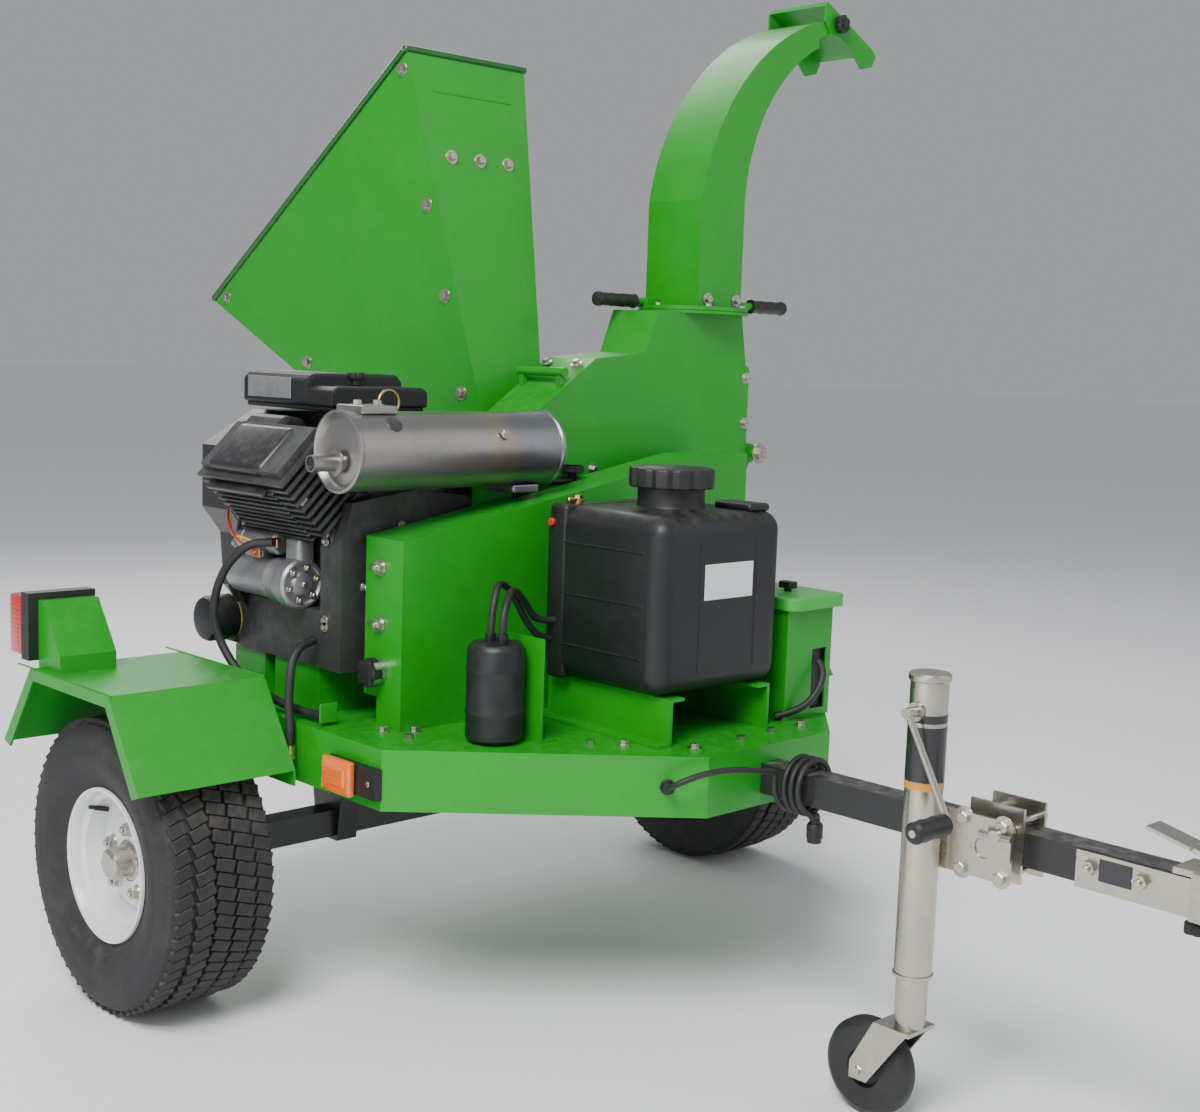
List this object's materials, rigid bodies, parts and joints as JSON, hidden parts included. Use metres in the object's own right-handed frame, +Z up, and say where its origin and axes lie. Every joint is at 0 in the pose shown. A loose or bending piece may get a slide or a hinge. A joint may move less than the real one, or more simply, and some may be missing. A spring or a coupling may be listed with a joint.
{
  "type": "wood chipper",
  "caption": "Towable disc wood chipper: engine, belt drive, feed hopper, swivelling discharge chute and fuel tank on a two-wheel deck with jack.",
  "frame": {"origin": "on the ground, under the middle of the machine's outer box", "axes": "+X towards the hitch, +Y left, +Z up"},
  "size_m": [2.498, 1.803, 1.909],
  "materials": {
    "green_paint": "gloss powder coat",
    "black_paint": "satin",
    "white_paint": "gloss",
    "zinc": "zinc plated",
    "steel": "machined",
    "stainless": "heat tinted",
    "cast": "cast",
    "alloy": "cast",
    "tyre": "matt",
    "rubber": "matt",
    "black_plastic": "moulded",
    "lens": "clear",
    "brass": "satin"
  },
  "bodies": {
    "chassis": {"deck": "green_paint", "underframe": "black_paint", "axle_beam": "black_paint", "fenders": "green_paint", "lamp_housings": "black_plastic", "lamp_lenses": "lens", "tongue": "black_paint", "coupler_channel": "zinc", "coupler_body": "zinc", "jack_bracket": "zinc", "bearings": "cast", "lower_housing": "green_paint", "anvil": "steel", "hopper": "green_paint", "v_belts": "rubber", "belt_guard": "green_paint", "fasteners": "zinc", "engine_base": "green_paint", "engine_block": "cast", "cylinders": "alloy", "blower_housing": "black_paint", "intake": "black_plastic", "starter_motor": "alloy", "exhaust": "stainless", "brackets": "green_paint", "fuel_tank": "black_plastic", "canister": "black_plastic", "battery_box": "green_paint", "battery": "black_plastic", "hoses_and_cable": "rubber", "drain_valve": "brass", "harness_grommet": "rubber", "harness_lead": "rubber", "harness_coil": "rubber", "harness_plug": "black_plastic"},
    "right_wheel": {"tyre_right": "tyre", "wheel_right": "white_paint"},
    "left_wheel": {"tyre_left": "tyre", "wheel_left": "white_paint"},
    "jack": {"jack_tube": "zinc"},
    "jack_foot": {"jack_leg": "zinc"},
    "jack_crank": {"crank_handle": "zinc"},
    "pull_pin": {"jack_pin": "zinc"},
    "caster": {"caster_fork": "zinc"},
    "caster_roller": {"caster_wheel": "black_plastic"},
    "latch": {"coupler_latch": "zinc"},
    "disc_rotor": {"rotor": "steel", "knives": "steel", "driven_pulley": "cast"},
    "engine_crank": {"crankshaft": "steel", "drive_pulley": "cast"},
    "tensioner": {"tension_arm": "black_paint"},
    "idler": {"idler_pulley": "steel"},
    "lid_housing": {"upper_housing": "green_paint"},
    "chute": {"discharge_chute": "green_paint"},
    "deflector": {"deflector": "green_paint"},
    "knob": {"deflector_knob": "black_plastic"},
    "curtain": {"feed_curtain": "rubber"},
    "filler_cap": {"fuel_cap": "black_plastic"},
    "box_lid": {"battery_lid": "green_paint"}
  },
  "joints": [
    {"name": "right_wheel_spin", "type": "hinge", "parent": "chassis", "child": "right_wheel", "pos_m": [-0.4015, -0.753, 0.256], "axis": [0, 1, 0], "continuous": true},
    {"name": "left_wheel_spin", "type": "hinge", "parent": "chassis", "child": "left_wheel", "pos_m": [-0.4015, 0.686, 0.256], "axis": [0, 1, 0], "continuous": true},
    {"name": "jack_swivel", "type": "hinge", "parent": "chassis", "child": "jack", "pos_m": [0.8385, -0.0935, 0.452], "axis": [0, -1, 0], "range_deg": [0, 90]},
    {"name": "jack_lift", "type": "slide", "parent": "jack", "child": "jack_foot", "axis": [0, 0, 1], "range_m": [-0.2, 0.06]},
    {"name": "jack_crank_turn", "type": "hinge", "parent": "jack", "child": "jack_crank", "pos_m": [0.7485, -0.1635, 0.645], "axis": [0, 1, 0], "range_deg": [-12600, 3800]},
    {"name": "caster_swivel", "type": "hinge", "parent": "jack_foot", "child": "caster", "pos_m": [0.7485, -0.1275, 0.165], "axis": [0, 0, 1], "continuous": true},
    {"name": "caster_spin", "type": "hinge", "parent": "caster", "child": "caster_roller", "pos_m": [0.6825, -0.1275, 0.076], "axis": [0, 1, 0], "continuous": true},
    {"name": "pull_pin_slide", "type": "slide", "parent": "jack", "child": "pull_pin", "axis": [0, -1, 0], "range_m": [0, 0.015], "stiffness_N_per_m": 400, "springref_m": -0.004},
    {"name": "latch_lift", "type": "hinge", "parent": "chassis", "child": "latch", "pos_m": [1.1555, -0.0335, 0.498], "axis": [0, 1, 0], "range_deg": [0, 65]},
    {"name": "rotor_spin", "type": "hinge", "parent": "chassis", "child": "disc_rotor", "pos_m": [-0.2515, 0.2215, 0.85], "axis": [1, 0, 0], "continuous": true},
    {"name": "crankshaft_spin", "type": "hinge", "parent": "chassis", "child": "engine_crank", "pos_m": [-0.4015, -0.3635, 0.735], "axis": [1, 0, 0], "continuous": true},
    {"name": "tension_release", "type": "hinge", "parent": "chassis", "child": "tensioner", "pos_m": [-0.1615, -0.1235, 0.865], "axis": [-1, 0, 0], "range_deg": [0, 25]},
    {"name": "idler_spin", "type": "hinge", "parent": "tensioner", "child": "idler", "pos_m": [-0.1115, -0.0735, 0.828], "axis": [1, 0, 0], "continuous": true},
    {"name": "housing_open", "type": "hinge", "parent": "chassis", "child": "lid_housing", "pos_m": [-0.2715, 0.5635, 0.945], "axis": [-1, 0, 0], "range_deg": [0, 60]},
    {"name": "chute_swivel", "type": "hinge", "parent": "lid_housing", "child": "chute", "pos_m": [-0.269, 0.4265, 1.24], "axis": [0, 0, 1], "continuous": true},
    {"name": "deflector_tilt", "type": "hinge", "parent": "chute", "child": "deflector", "pos_m": [-0.269, 0.7625, 1.867], "axis": [1, 0, 0], "range_deg": [-35, 18]},
    {"name": "deflector_knob_turn", "type": "hinge", "parent": "deflector", "child": "knob", "pos_m": [-0.1865, 0.7625, 1.867], "axis": [1, 0, 0], "range_deg": [-180, 180]},
    {"name": "curtain_swing", "type": "hinge", "parent": "chassis", "child": "curtain", "pos_m": [-0.5885, 0.0235, 1.64], "axis": [0, 1, 0], "range_deg": [-18, 40]},
    {"name": "filler_cap_turn", "type": "hinge", "parent": "chassis", "child": "filler_cap", "pos_m": [0.1735, -0.0855, 0.93], "axis": [0, 0, 1], "range_deg": [0, 90]},
    {"name": "battery_lid_open", "type": "hinge", "parent": "chassis", "child": "box_lid", "pos_m": [0.0895, 0.1795, 0.7104], "axis": [0, -1, 0], "range_deg": [0, 95]}
  ],
  "couplings": [
    {"joint": "crankshaft_spin", "follows": "rotor_spin", "ratio": 1.6},
    {"joint": "jack_crank_turn", "follows": "jack_lift", "rad_per_m": 1047.2}
  ]
}
